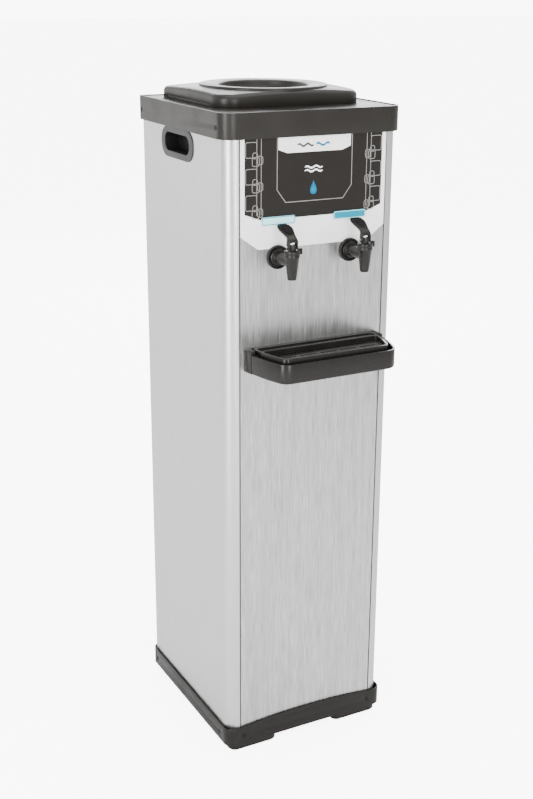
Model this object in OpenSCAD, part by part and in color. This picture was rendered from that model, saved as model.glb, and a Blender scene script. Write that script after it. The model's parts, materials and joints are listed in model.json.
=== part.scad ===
// Column water dispenser with two lever taps, a removable drip tray and a
// lift-off bottle seat. Front faces -Y, +Z is up, the origin is at the bottom
// centre of the overall box. Lengths are in millimetres.

/* [Cabinet] */
// Half width of the sheet-metal cabinet
cab_half = 134; // [110:1:170]
// Depth of the side panels, front face to rear flange
cab_depth = 280; // [220:1:360]
// Sheet thickness of all cabinet panels
sheet = 1; // [0.6:0.1:2]
// Radius of the front vertical corners
corner_r = 20; // [8:1:40]
// Clear gap at each front seam
seam_gap = 0.8; // [0.4:0.1:2]
// Lower end of the panels, standing on the base floor
panel_z0 = 14.5; // [10:0.5:30]
// Upper end of the panels, inside the top cover
panel_z1 = 948; // [700:1:1100]

/* [Top cover] */
// Half width of the cover band
band_half = 139.5; // [115:0.5:175]
// How far the band stands in front of the front panel
band_front = 3; // [2:0.5:12]
// Rear face of the band, from the front panel
band_rear = 283.5; // [225:0.5:370]
// Radius of the band's front corners
band_r = 21; // [8:1:40]
// Radius of the band's rear corners
rear_r = 6; // [4:0.5:12]
// Lower edge of the band
band_z0 = 925.5; // [680:0.5:1080]
// Upper edge of the band
band_z1 = 960; // [720:1:1120]
// Depth of the sunk deck below the band's top edge
deck_sink = 5; // [2:0.5:12]
// Wall thickness of the cover
cover_wall = 2.3; // [1.5:0.1:4]
// Radius of the opening for the reservoir
cover_hole_r = 89; // [60:1:110]

/* [Bottle seat] */
// Half width of the seat
seat_half = 113; // [80:1:130]
// Front face of the seat, from the front panel
seat_y0 = 59; // [30:1:100]
// Rear face of the seat, from the front panel
seat_y1 = 262; // [200:1:300]
// Radius of the seat's front corners
seat_r = 30; // [8:1:50]
// Radius of the seat's rear corners
seat_rear_r = 14; // [6:1:30]
// Centre of the ring and the neck guide, from the front panel
ring_y = 153; // [130:1:200]
// Centre of the reservoir, from the front panel
bottle_y = 165; // [120:1:200]
// Outer radius of the raised ring
ring_r = 92; // [70:1:105]
// Top of the raised ring
ring_z = 983; // [965:0.5:1010]
// Radius of the dish inside the ring
dish_r = 65; // [45:1:85]
// Radius of the guide for the bottle's neck
neck_r = 29.5; // [26:0.5:34]

/* [Taps] */
// Distance of each tap from the middle
tap_x = 57; // [40:1:90]
// Height of the tap's spout axis at the panel
tap_z = 765; // [600:1:850]
// Reach from the panel to the barrel's axis
tap_reach = 43; // [30:1:60]
// Radius of the flange on the panel
flange_r = 16.5; // [12:0.5:24]
// Radius of the barrel at its top
barrel_r = 10.4; // [8:0.1:16]
// Radius of the barrel at its tip
tip_r = 6.2; // [4:0.1:10]
// Height of the barrel's top
barrel_z1 = 777; // [760:1:800]
// Height of the barrel's tip
barrel_z0 = 742; // [720:1:760]

/* [Drip tray] */
// Reach of the tray in front of the panel
tray_reach = 84; // [60:1:120]
// Underside of the tray
tray_z0 = 608.5; // [500:0.5:680]
// Height of the tray's rim
tray_z1 = 636; // [520:0.5:720]
// Top of the grille's frame
grille_z = 641; // [525:0.5:725]
// Half width of the tray where it meets the panel
tray_half = 108; // [80:1:130]
// Radius of the tray's front corners
tray_corner = 18; // [8:1:24]
// How far the grille's frame stands in from the tray's outline
grille_inset = 9.5; // [6:0.5:14]

/* [Base] */
// Half width of the base
base_half = 137.5; // [115:0.5:175]
// How far the base stands in front of the front panel
base_front = 3.2; // [2:0.1:12]
// Rear face of the base, from the front panel
base_rear = 292; // [230:1:380]
// Height of the base's side walls
base_z1 = 39.5; // [25:0.5:80]
// Height of the front wall in its middle
base_arch = 45.5; // [30:0.5:90]
// Underside of the base between the feet
skirt_z = 11.5; // [5:0.5:30]

/* [Cooling] */
// Inner radius of the cold reservoir
pot_r = 78.5; // [60:0.5:90]
// Underside of the reservoir
pot_z0 = 745; // [700:1:800]
// Radius of the compressor shell
comp_r = 62; // [45:1:80]
// Height of the thermostat's shaft
thermo_z = 694; // [680:1:700]

/* [Hidden] */
$fn = 64;
front_y = -(tray_reach + base_rear) / 2 + tray_reach;
pot_wall = 1.2;
pot_out = pot_r + pot_wall;
deck_z = band_z1 - deck_sink;
rear_y = cab_depth + sheet;
guide_out = neck_r + 3;
press_gap = 0.05;
arc_r = 241.2;
arc_x = arc_r - tray_half - 0.25;
arc_y = 13;
holder_d = 19;
cheek_x = 99;

// ---------- helpers ----------
module local() {
  translate([0, front_y, 0]) children();
}

module rr(x0, y0, x1, y1, r) {
  translate([x0 + r, y0]) square([x1 - x0 - 2 * r, y1 - y0]);
  translate([x0, y0 + r]) square([x1 - x0, y1 - y0 - 2 * r]);
  for (x = [x0 + r, x1 - r]) {
    for (y = [y0 + r, y1 - r]) {
      translate([x, y]) circle(r);
    }
  }
}

module slab(x0, y0, x1, y1, r, z0, z1) {
  translate([0, 0, z0]) linear_extrude(z1 - z0) rr(x0, y0, x1, y1, r);
}

module box(x0, x1, y0, y1, z0, z1) {
  translate([x0, y0, z0]) cube([x1 - x0, y1 - y0, z1 - z0]);
}

// cylinder along +Y from y0 to y1
module cyl_y(x, z, y0, y1, r) {
  translate([x, y0, z]) rotate([-90, 0, 0]) cylinder(h = y1 - y0, r = r);
}

// cylinder along +X from x0 to x1
module cyl_x(y, z, x0, x1, r) {
  translate([x0, y, z]) rotate([0, 90, 0]) cylinder(h = x1 - x0, r = r);
}

module cyl_z(x, y, z0, z1, r) {
  translate([x, y, z0]) cylinder(h = z1 - z0, r = r);
}

// a rounded rectangle in X and Z, drawn along +Y from y0 to y1
module plate_y(x0, z0, x1, z1, r, y0, y1) {
  translate([0, y1, 0]) rotate([90, 0, 0]) linear_extrude(y1 - y0) rr(x0, z0, x1, z1, r);
}

module ring_tube(r, tube) {
  rotate_extrude() translate([r, 0]) circle(tube);
}

// ---------- cabinet ----------
module side_panel_plan() {
  translate([-cab_half, corner_r]) square([sheet, cab_depth - corner_r]);
  translate([-cab_half, cab_depth - sheet]) square([16, sheet]);
  translate([-cab_half + corner_r - sheet, 0]) square([sheet, 12]);
  intersection() {
    translate([-cab_half + corner_r, corner_r]) difference() {
      circle(corner_r);
      circle(corner_r - sheet);
    }
    translate([-cab_half, 0]) square([corner_r, corner_r]);
  }
}

module side_panel_solid() {
  difference() {
    translate([0, 0, panel_z0]) linear_extrude(panel_z1 - panel_z0) side_panel_plan();
    // notch for the handle cup, open at the top behind the cover band
    rotate([0, -90, 0]) translate([0, 0, cab_half - 5])
      linear_extrude(10) rr(886.2, 105, panel_z1 + 20, 205, 8);
    // screw holes at the base and the cover
    for (p = [[24, 25], [268, 25], [18, 940], [272, 940]]) {
      cyl_x(p[0], p[1], -cab_half - 2, -cab_half + 2, 1.6);
    }
  }
}

module left_side_panel() {
  color([0.78, 0.78, 0.78]) local() side_panel_solid();
}

module right_side_panel() {
  color([0.78, 0.78, 0.78]) local() mirror([1, 0, 0]) side_panel_solid();
}

module front_panel() {
  w = cab_half - corner_r - seam_gap;
  color([0.74, 0.74, 0.74]) local() difference() {
    union() {
      box(-w, w, 0, sheet, panel_z0, panel_z1);
      box(-w, -w + sheet, 0, 14, panel_z0, panel_z1);
      box(w - sheet, w, 0, 14, panel_z0, panel_z1);
    }
    for (s = [-1, 1]) {
      cyl_y(s * tap_x, tap_z, -2, 4, 8.3);
      cyl_y(s * 109.5, 25.5, -2, 4, 1.6);
    }
  }
}

module rear_panel() {
  color([0.3, 0.3, 0.31]) local() difference() {
    box(-130, 130, cab_depth, rear_y, panel_z0, panel_z1);
    for (i = [0 : 9]) {
      for (s = [-1, 1]) {
        box(s * 52 - 38, s * 52 + 38, cab_depth - 2, rear_y + 2, 420 + i * 24, 426 + i * 24);
      }
    }
    for (i = [0 : 4]) {
      box(-90, 90, cab_depth - 2, rear_y + 2, 150 + i * 20, 156 + i * 20);
    }
    cyl_y(75, 320, cab_depth - 2, rear_y + 2, 6.2);
    cyl_y(-75, 75, cab_depth - 2, rear_y + 2, 7.1);
    cyl_y(85, thermo_z, cab_depth - 2, rear_y + 2, 4.3);
    for (x = [-124, 124]) {
      for (z = [60, 480, 900]) {
        cyl_y(x, z, cab_depth - 2, rear_y + 2, 1.8);
      }
    }
  }
}

module rear_screws() {
  color([0.6, 0.6, 0.6]) local() {
    for (x = [-124, 124]) {
      for (z = [60, 480, 900]) {
        cyl_y(x, z, cab_depth, rear_y, 1.7);
        cyl_y(x, z, rear_y, rear_y + 1.6, 3.6);
      }
    }
  }
}

// ---------- top ----------
// the band's outline with wide front corners and tight rear ones
module band_slab(side, front, z0, z1) {
  slab(-band_half + side, -band_front + front, band_half - side, 60, band_r - side, z0, z1);
  slab(-band_half + side, 30, band_half - side, band_rear - side, rear_r - side, z0, z1);
}

module top_cover() {
  color([0.2, 0.19, 0.18]) local() difference() {
    band_slab(0, 0, band_z0, band_z1);
    // the room for the panels below the deck
    band_slab(cover_wall, 2, band_z0 - 1, deck_z - 2.5);
    // sunk deck inside the raised rim
    band_slab(3, 3, deck_z, band_z1 + 1);
    cyl_z(0, ring_y, deck_z - 10, deck_z + 1, cover_hole_r);
    for (s = [-1, 1]) {
      for (y = [18, 272]) {
        cyl_x(y, 940, s * band_half - 1.4, s * band_half + 1.4, 3.4);
        cyl_x(y, 940, s * (band_half - 3) - 3, s * (band_half - 3) + 3, 1.7);
      }
    }
  }
}

module cover_screws() {
  color([0.12, 0.12, 0.12]) local() {
    for (s = [-1, 1]) {
      for (y = [18, 272]) {
        cyl_x(y, 940, min(s * (band_half - 1.4), s * (band_half - 0.3)),
          max(s * (band_half - 1.4), s * (band_half - 0.3)), 3.2);
        cyl_x(y, 940, min(s * (band_half - 8), s * (band_half - 1.4)),
          max(s * (band_half - 8), s * (band_half - 1.4)), 1.5);
      }
    }
  }
}

// upper face of the seat outside the ring: a shallow cone
function seat_top(r) = ring_z - 3.2 - 0.13 * (r - ring_r);

module seat_prism(inset, z0, z1) {
  middle = (seat_y0 + seat_y1) / 2;
  slab(-seat_half + inset, seat_y0 + inset, seat_half - inset, middle + seat_r,
    seat_r - inset, z0, z1);
  slab(-seat_half + inset, middle - seat_r, seat_half - inset, seat_y1 - inset,
    seat_rear_r - inset, z0, z1);
}

// face of the cone that leads down to the neck guide
function cone_z(r) = 953 + (r - neck_r) * 16.5 / (dish_r - 4 - neck_r);

module bottle_seat() {
  color([0.2, 0.19, 0.18]) local() difference() {
    union() {
      intersection() {
        seat_prism(0, deck_z, ring_z);
        translate([0, ring_y, 0]) rotate_extrude()
          polygon([[0, deck_z - 1], [160, deck_z - 1], [160, seat_top(160)],
            [ring_r, seat_top(ring_r)], [0, seat_top(ring_r)]]);
      }
      // raised ring
      translate([0, ring_y, 0]) rotate_extrude()
        polygon([[dish_r - 2, seat_top(ring_r) - 4], [ring_r, seat_top(ring_r) - 4],
          [ring_r, ring_z - 0.8], [ring_r - 0.8, ring_z], [dish_r + 6, ring_z - 1],
          [dish_r - 2, ring_z - 3]]);
      // the cone that leads to the neck guide
      translate([0, ring_y, 0]) rotate_extrude()
        polygon([[neck_r + 3, 951], [dish_r - 2, 967], [dish_r - 2, 976], [neck_r + 3, 976]]);
      // locating skirt inside the cover's opening
      translate([0, ring_y, 0]) rotate_extrude()
        polygon([[84.5, 950.4], [87, 950.4], [87, 976], [84.5, 976]]);
    }
    // hollow underside
    intersection() {
      seat_prism(3, deck_z - 1, 990);
      translate([0, ring_y, 0]) rotate_extrude()
        polygon([[87, deck_z - 2], [160, deck_z - 2], [160, seat_top(160) - 3],
          [87, seat_top(87) - 3]]);
    }
    translate([0, ring_y, 0]) rotate_extrude()
      polygon([[dish_r + 1, deck_z - 6], [84.5, deck_z - 6], [84.5, seat_top(87) - 3],
        [dish_r + 1, seat_top(87) - 5]]);
    // dish, cone and neck bore
    translate([0, ring_y, 0]) rotate_extrude()
      polygon([[0, 914], [guide_out + press_gap, 914], [guide_out + press_gap, cone_z(guide_out)],
        [dish_r - 4, cone_z(dish_r - 4)], [dish_r, 978.5], [dish_r, ring_z + 1], [0, ring_z + 1]]);
    // finger grooves along both sides
    for (s = [-1, 1]) {
      box(s * seat_half - 2, s * seat_half + 2, seat_y0 + 36, seat_y1 - 20, 961, 963);
    }
  }
}

// tube that guides the bottle's neck, pressed into the seat
module neck_guide() {
  color([0.2, 0.19, 0.18]) local() translate([0, ring_y, 0]) rotate_extrude()
    polygon([[neck_r, 915], [guide_out, 915], [guide_out, cone_z(guide_out)],
      [neck_r, cone_z(neck_r)]]);
}

module neck_seal() {
  color([0.85, 0.85, 0.82]) local() translate([0, ring_y, 0]) rotate_extrude()
    polygon([[neck_r + 0.5, 908], [neck_r + 5, 908], [neck_r + 5, 930],
      [guide_out + press_gap, 930], [guide_out + press_gap, 915 - press_gap],
      [neck_r + 0.5, 915 - press_gap]]);
}

// ---------- side handles ----------
module handle_cup() {
  color([0.35, 0.35, 0.35]) local() difference() {
    union() {
      rotate([0, -90, 0]) translate([0, 0, cab_half]) linear_extrude(1.5)
        rr(882, 101, 925.2, 209, 20);
      rotate([0, -90, 0]) translate([0, 0, cab_half - 22]) linear_extrude(22)
        rr(886.5, 105.3, 921.5, 204.7, 15.7);
    }
    rotate([0, -90, 0]) translate([0, 0, cab_half - 20]) linear_extrude(25)
      rr(891, 113, 917, 197, 12);
    // undercut above the mouth, for the fingertips
    rotate([0, -90, 0]) translate([0, 0, cab_half - 20]) linear_extrude(14)
      rr(891, 113, 919.5, 197, 12);
  }
}

module left_handle_cup() {
  handle_cup();
}

module right_handle_cup() {
  mirror([1, 0, 0]) handle_cup();
}

// ---------- fascia ----------
module chamfered(x, z0, z1, cx, cz) {
  polygon([[-x, z1], [-x, z0 + cz], [-x + cx, z0], [x - cx, z0], [x, z0 + cz], [x, z1]]);
}

module fascia_film() {
  color([0.88, 0.88, 0.88]) local() difference() {
    rotate([90, 0, 0]) linear_extrude(0.4) chamfered(113, 777, panel_z1, 27, 31);
    for (s = [-1, 1]) {
      cyl_y(s * tap_x, tap_z, -3, 1, flange_r + 0.5);
    }
  }
}

module fascia_panel() {
  color([0.2, 0.19, 0.18]) local() translate([0, -0.4, 0]) rotate([90, 0, 0])
    linear_extrude(0.4) chamfered(106.5, 817.3, panel_z1, 24, 8.5);
}

module label_plate(s) {
  local() plate_y(s * 56 - 25.5, 809.5, s * 56 + 25.5, 820.5, 2.5, -2, -0.8);
}

module natural_label() {
  color([0.85, 0.95, 0.96]) label_plate(-1);
}

module cold_label() {
  color([0.1, 0.7, 0.8]) label_plate(1);
}

// ---------- taps ----------
module at_tap(s) {
  local() translate([s * tap_x, -tap_reach, 0]) children();
}

module tap_body() {
  t = tap_reach;
  difference() {
    union() {
      // flange with a stepped face, then the neck and the threaded tail
      cyl_y(0, tap_z, t - 5.5, t, flange_r);
      cyl_y(0, tap_z, t - 8, t - 5.5, 11);
      cyl_y(0, tap_z, 4, t - 8, 7.6);
      cyl_y(0, tap_z, t, t + 24, 8);
      cyl_y(0, tap_z, t + 24, t + 36, 5);
      // barrel
      translate([0, 0, barrel_z0]) cylinder(h = barrel_z1 - barrel_z0, r1 = tip_r, r2 = barrel_r);
    }
    // ring groove in the flange
    translate([0, t - 4, tap_z]) rotate([90, 0, 0]) difference() {
      cylinder(h = 3, r = 14.4);
      translate([0, 0, -1]) cylinder(h = 5, r = 12);
    }
    // waterway
    cyl_y(0, tap_z, 0, t + 40, 3.2);
    cyl_z(0, 0, barrel_z0 - 1, 756, 4.4);
    cyl_z(0, 0, 750, 759, 3);
    cyl_z(0, 0, 759, barrel_z1 + 1, 6.5);
  }
}

module tap_body_natural() {
  color([0.13, 0.13, 0.13]) at_tap(-1) tap_body();
}

module tap_body_cold() {
  color([0.13, 0.13, 0.13]) at_tap(1) tap_body();
}

module tap_bonnet() {
  difference() {
    union() {
      cyl_z(0, 0, barrel_z1, barrel_z1 + 4.5, barrel_r + 0.2);
      box(9, 14.4, -2.2, 2.2, barrel_z1 - 1, barrel_z1 + 7);
      // ears for the lever's pin
      for (s = [-1, 1]) {
        box(s * 3.4 - 0.9, s * 3.4 + 0.9, -3.2, 3.2, barrel_z1 + 4, barrel_z1 + 10);
        cyl_x(0, barrel_z1 + 10, s * 3.4 - 0.9, s * 3.4 + 0.9, 3.2);
      }
    }
    box(8, barrel_r + 0.6, -3, 3, barrel_z1 - 2, barrel_z1);
    cyl_z(0, 0, barrel_z1 - 1, barrel_z1 + 5, 2.05);
    cyl_x(0, barrel_z1 + 10, -5, 5, 1.25);
  }
}

module tap_bonnet_natural() {
  color([0.13, 0.13, 0.13]) at_tap(-1) tap_bonnet();
}

module tap_bonnet_cold() {
  color([0.13, 0.13, 0.13]) at_tap(1) tap_bonnet();
}

// side view of the lever, in Y and Z from the top of the barrel
module lever_side() {
  polygon([[-4, 9], [-5, 15], [2, 19.5], [11, 25.5], [22, 30.3], [29, 31.6], [33, 30],
    [33.6, 27], [31, 24.6], [24, 23], [17, 21], [9, 18.5], [4.3, 16.4], [4, 9]]);
}

module tap_lever() {
  difference() {
    union() {
      intersection() {
        translate([-9, 0, barrel_z1]) rotate([90, 0, 90]) linear_extrude(18) lever_side();
        translate([0, 0, barrel_z1]) linear_extrude(40) {
          translate([-8.6, -6]) square([17.2, 31]);
          translate([0, 25]) circle(8.6);
        }
      }
      // hub round the pin
      cyl_x(0, barrel_z1 + 10, -8.6, 8.6, 4.7);
    }
    // fork
    box(-4.7, 4.7, -7, 7, barrel_z1, barrel_z1 + 15.5);
    // thumb hollow
    translate([0, 20, barrel_z1 + 29.4]) rotate([23.6, 0, 0]) translate([0, 0, -1.4])
      cylinder(h = 8, r = 6.4);
    cyl_x(0, barrel_z1 + 10, -10, 10, 1.22);
  }
}

module tap_lever_natural() {
  color([0.13, 0.13, 0.13]) at_tap(-1) tap_lever();
}

module tap_lever_cold() {
  color([0.13, 0.13, 0.13]) at_tap(1) tap_lever();
}

module lever_pin() {
  cyl_x(0, barrel_z1 + 10, -8.4, 8.4, 1.2);
}

module lever_pin_natural() {
  color([0.6, 0.6, 0.6]) at_tap(-1) lever_pin();
}

module lever_pin_cold() {
  color([0.6, 0.6, 0.6]) at_tap(1) lever_pin();
}

// the stem carries the rubber plug and has a slot round the lever's pin
module tap_plunger() {
  difference() {
    union() {
      cyl_z(0, 0, 762, barrel_z1 + 8, 1.95);
      intersection() {
        cyl_z(0, 0, barrel_z1 + 5, barrel_z1 + 12.2, 3.1);
        box(-2.2, 2.2, -2.4, 2.4, barrel_z1 + 5, barrel_z1 + 12.2);
      }
      translate([0, 0, 759]) cylinder(h = 4, r1 = 3.2, r2 = 5.6);
      cyl_z(0, 0, 763, 765, 5.6);
    }
    box(-3, 3, -1.45, 1.45, barrel_z1 + 6.2, barrel_z1 + 11.5);
  }
}

module tap_plunger_natural() {
  color([0.8, 0.8, 0.76]) at_tap(-1) tap_plunger();
}

module tap_plunger_cold() {
  color([0.8, 0.8, 0.76]) at_tap(1) tap_plunger();
}

module tap_spring() {
  for (i = [0 : 4]) {
    translate([0, 0, 765.8 + i * 2.4]) ring_tube(4.6, 0.6);
  }
  cyl_z(4.6, 0, 765.8, 775.4, 0.45);
}

module tap_spring_natural() {
  color([0.7, 0.7, 0.7]) at_tap(-1) tap_spring();
}

module tap_spring_cold() {
  color([0.7, 0.7, 0.7]) at_tap(1) tap_spring();
}

module tap_nut() {
  t = tap_reach;
  difference() {
    translate([0, t + sheet, tap_z]) rotate([-90, 0, 0]) cylinder(h = 8, r = 14, $fn = 6);
    cyl_y(0, tap_z, t, t + 12, 8.05);
  }
}

module tap_nut_natural() {
  color([0.85, 0.85, 0.85]) at_tap(-1) tap_nut();
}

module tap_nut_cold() {
  color([0.85, 0.85, 0.85]) at_tap(1) tap_nut();
}

// ---------- drip tray ----------
// half width of the tray's plan at y, with the sides drawn in by inset
function tray_width(inset, y) = sqrt(pow(arc_r - inset, 2) - pow(y - arc_y, 2)) - arc_x;

// plan of the tray between y0 and y1, with front corners of radius r
module tray_plan(inset, y0, y1, r) {
  intersection() {
    union() {
      translate([-150, y0 + r]) square([300, y1 - y0 - r]);
      if (r > 0) {
        w = tray_width(inset, y0 + r);
        rr(-w, y0, w, y0 + 2 * r + 1, r);
      }
    }
    translate([-arc_x, arc_y]) circle(arc_r - inset);
    translate([arc_x, arc_y]) circle(arc_r - inset);
  }
}

module tray_slab(inset, y0, y1, z0, z1, r = 0) {
  translate([0, 0, z0]) linear_extrude(z1 - z0) tray_plan(inset, y0, y1, r);
}

module tray_holder() {
  color([0.13, 0.13, 0.13]) local() difference() {
    intersection() {
      tray_slab(0, -holder_d, 0, tray_z0, grille_z);
      plate_y(-tray_half - 5, tray_z0 - 20, tray_half + 5, grille_z, 12, -holder_d - 1, 1);
    }
    // open towards the tray and upwards, between the two cheeks
    box(-cheek_x, cheek_x, -holder_d - 1, -4, tray_z0 + 2.5, grille_z + 1);
  }
}

module drip_tray() {
  y0 = -tray_reach;
  y1 = -holder_d - 0.3;
  color([0.13, 0.13, 0.13]) local() difference() {
    union() {
      tray_slab(0, y0, y1, tray_z0, tray_z1, tray_corner);
      // tongue that rests in the holder
      box(-90, 90, y1 - 1, -6, tray_z0 + 2.7, tray_z0 + 14);
    }
    tray_slab(2.5, y0 + 2.5, y1 - 2.5, tray_z0 + 2.5, tray_z1 + 1, tray_corner - 2.5);
    box(-87.5, 87.5, y1 + 0.2, -8.5, tray_z0 + 5.2, tray_z0 + 20);
  }
}

module drip_grille() {
  y0 = -tray_reach + 10;
  y1 = -holder_d - 3.5;
  z0 = tray_z0 + 2.7;
  corner = tray_corner - 7;
  color([0.12, 0.12, 0.12]) local() difference() {
    union() {
      tray_slab(grille_inset, y0, y1, z0, grille_z, corner);
      // shelf that reaches back over the holder
      tray_slab(grille_inset, y1 - 1, -5, grille_z - 4, grille_z);
    }
    // sunk slotted plate inside the frame
    tray_slab(grille_inset + 4, y0 + 4, y1 - 3, grille_z - 6, grille_z + 1, corner - 4);
    tray_slab(grille_inset + 2.5, y0 + 2.5, y1 - 1.8, z0 - 1, grille_z - 8.5, corner - 2.5);
    // shallow trough in the shelf
    tray_slab(grille_inset + 4, y1 + 1, -9, grille_z - 2, grille_z + 1);
    box(-72, 72, y1 - 10, y1 - 6.5, z0, grille_z + 1);
    for (i = [0 : 2]) {
      for (j = [-2 : 2]) {
        box(j * 32 - 12.5, j * 32 + 12.5, y0 + 10 + i * 8, y0 + 12.5 + i * 8, z0, grille_z + 1);
      }
    }
  }
}

// ---------- base ----------
module base() {
  h = base_half;
  f = base_front;
  arch_h = base_arch - base_z1;
  arch_r = (115 * 115 + arch_h * arch_h) / (2 * arch_h);
  color([0.2, 0.19, 0.18]) local() difference() {
    union() {
      slab(-h, -f, h, base_rear, 14, skirt_z, base_z1);
      intersection() {
        translate([0, -f + 2, base_arch - arch_r]) rotate([90, 0, 0]) cylinder(h = 2, r = arch_r);
        box(-115, 115, -f - 1, 5, base_z1 - 2, base_arch + 1);
      }
      // four moulded feet
      for (s = [-1, 1]) {
        for (y = [0, base_rear - f - 48]) {
          slab(min(s * 50, s * 130), y - 1, max(s * 50, s * 130), y + 47, 12, 2, skirt_z + 1);
        }
      }
    }
    slab(-h + 2, -f + 2, h - 2, base_rear - 2, 12, panel_z0, base_arch + 1);
    // air slots in the floor
    for (i = [-2 : 2]) {
      box(i * 18 - 4, i * 18 + 4, 90, 250, skirt_z - 1, panel_z0 + 1);
    }
    for (s = [-1, 1]) {
      for (y = [24, 268]) {
        cyl_x(y, 25, s * h - 1.2, s * h + 1.2, 3.6);
        cyl_x(y, 25, s * (h - 3) - 3, s * (h - 3) + 3, 1.7);
      }
      cyl_y(s * 109.5, 25.5, -f - 1, -f + 1.2, 3.6);
      cyl_y(s * 109.5, 25.5, -f - 1, 0, 1.7);
    }
  }
}

module foot_pads() {
  color([0.08, 0.08, 0.08]) local() {
    for (s = [-1, 1]) {
      for (y = [0, base_rear - base_front - 48]) {
        slab(min(s * 52, s * 128), y + 1, max(s * 52, s * 128), y + 45, 10, 0, 2);
      }
    }
  }
}

module base_screws() {
  h = base_half;
  f = base_front;
  color([0.12, 0.12, 0.12]) local() {
    for (s = [-1, 1]) {
      for (y = [24, 268]) {
        cyl_x(y, 25, min(s * (h - 1.2), s * (h - 0.2)), max(s * (h - 1.2), s * (h - 0.2)), 3.4);
        cyl_x(y, 25, min(s * (h - 7), s * (h - 1.2)), max(s * (h - 7), s * (h - 1.2)), 1.5);
      }
      cyl_y(s * 109.5, 25.5, -f + 0.2, -f + 1.2, 3.4);
      cyl_y(s * 109.5, 25.5, -f + 1.2, 4, 1.5);
    }
  }
}

// ---------- water system ----------
module cold_reservoir() {
  color([0.8, 0.8, 0.8]) local() difference() {
    union() {
      cyl_z(0, bottle_y, pot_z0, 945, pot_out);
      cyl_z(0, bottle_y, 943.5, 945, 87);
      // outlets to the taps and to the drain
      cyl_y(tap_x, tap_z, 86, bottle_y, 5);
      cyl_y(-tap_x, 860, 72, bottle_y, 5);
      cyl_z(40, 205, 712, pot_z0 + 1, 5);
    }
    cyl_z(0, bottle_y, pot_z0 + pot_wall, 946, pot_r);
    cyl_y(tap_x, tap_z, 85, bottle_y, 3.5);
    cyl_y(-tap_x, 860, 71, bottle_y, 3.5);
    cyl_z(40, 205, 711, pot_z0 + 3, 3.5);
  }
}

module reservoir_baffle() {
  color([0.9, 0.9, 0.88]) local() difference() {
    union() {
      cyl_z(0, bottle_y, 842, 844, pot_r - 0.5);
      cyl_z(0, bottle_y, 790, 843, 9);
    }
    cyl_z(0, bottle_y, 789, 845, 7);
    for (a = [0 : 60 : 300]) {
      translate([0, bottle_y, 0]) rotate([0, 0, a]) cyl_z(66, 0, 840, 846, 3);
    }
  }
}

module insulation_block() {
  difference() {
    slab(-106, 60, 106, 270, 14, 726, 940);
    cyl_z(0, bottle_y, pot_z0 - 0.2, 941, pot_out + 0.3);
    // room for the evaporator coil
    cyl_z(0, bottle_y, 752, 838, pot_out + 7.3);
    cyl_y(tap_x, tap_z, 50, bottle_y, 8.5);
    cyl_y(-tap_x, 860, 50, bottle_y, 8.5);
    cyl_z(40, 205, 700, pot_z0 + 1, 8.5);
    // corner notches for the handle cups
    box(-120, -104, 90, 220, 880, 945);
    box(104, 120, 90, 220, 880, 945);
  }
}

module insulation_front() {
  color([0.95, 0.95, 0.95]) local() intersection() {
    insulation_block();
    box(-150, 150, 40, bottle_y - 0.15, 700, 950);
  }
}

module insulation_rear() {
  color([0.95, 0.95, 0.95]) local() intersection() {
    insulation_block();
    box(-150, 150, bottle_y + 0.15, 300, 700, 950);
  }
}

module evaporator_coil() {
  color([0.72, 0.45, 0.25]) local() {
    for (i = [0 : 4]) {
      translate([0, bottle_y, 785 + i * 10]) ring_tube(pot_out + 3.4, 3);
    }
    // header that joins the turns at the back
    cyl_z(0, bottle_y + pot_out + 3.4, 785, 825, 2);
  }
}

module reservoir_shelf() {
  color([0.7, 0.7, 0.7]) local() difference() {
    union() {
      box(-132.5, 132.5, 40, 276, 724.8, 726);
      box(-132.5, -131.3, 40, 276, 705, 726);
      box(131.3, 132.5, 40, 276, 705, 726);
    }
    cyl_z(40, 205, 700, 730, 9);
  }
}

// a bent tube: straight runs with ball corners, drawn from a short list of points
module run(a, b, r) {
  d = b - a;
  len = norm(d);
  translate(a) rotate([0, acos(d[2] / len), atan2(d[1], d[0])]) cylinder(h = len, r = r);
}

module tube_path(p, r) {
  for (i = [0 : len(p) - 2]) {
    run(p[i], p[i + 1], r);
  }
  for (i = [1 : len(p) - 2]) {
    translate(p[i]) sphere(r = r);
  }
}

module cold_hose() {
  color([0.85, 0.88, 0.9]) local() difference() {
    cyl_y(tap_x, tap_z, 25, 98, 7);
    cyl_y(tap_x, tap_z, 24, 99, 5.05);
  }
}

module natural_hose() {
  p = [[-tap_x, 25, tap_z], [-tap_x, 47, tap_z], [-tap_x, 47, 860], [-tap_x, 84, 860]];
  color([0.85, 0.88, 0.9]) local() difference() {
    tube_path(p, 7);
    cyl_y(-tap_x, tap_z, 24, 47, 5.05);
    cyl_z(-tap_x, 47, tap_z, 860, 5.05);
    cyl_y(-tap_x, 860, 47, 85, 5.05);
  }
}

module drain_hose() {
  p = [[40, 205, 722], [40, 205, 690], [75, 205, 690], [75, 205, 320], [75, 250, 320]];
  color([0.85, 0.88, 0.9]) local() difference() {
    tube_path(p, 6.5);
    cyl_z(40, 205, 690, 723, 5.05);
    cyl_x(205, 690, 40, 75, 4);
    cyl_z(75, 205, 320, 690, 4);
    cyl_y(75, 320, 205, 251, 4.55);
  }
}

module drain_fitting() {
  color([0.75, 0.75, 0.74]) local() difference() {
    union() {
      cyl_y(75, 320, 238, 262, 4.5);
      cyl_y(75, 320, 262, rear_y + 4, 6);
      cyl_y(75, 320, 270, cab_depth, 10);
    }
    cyl_y(75, 320, 237, rear_y + 5, 3);
  }
}

module drain_cap() {
  color([0.13, 0.13, 0.13]) local() difference() {
    union() {
      cyl_y(75, 320, rear_y + 0.4, rear_y + 8.5, 9);
      box(73.5, 76.5, rear_y + 8, rear_y + 10.5, 312.5, 327.5);
    }
    cyl_y(75, 320, rear_y, rear_y + 4.5, 6.05);
  }
}

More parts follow.
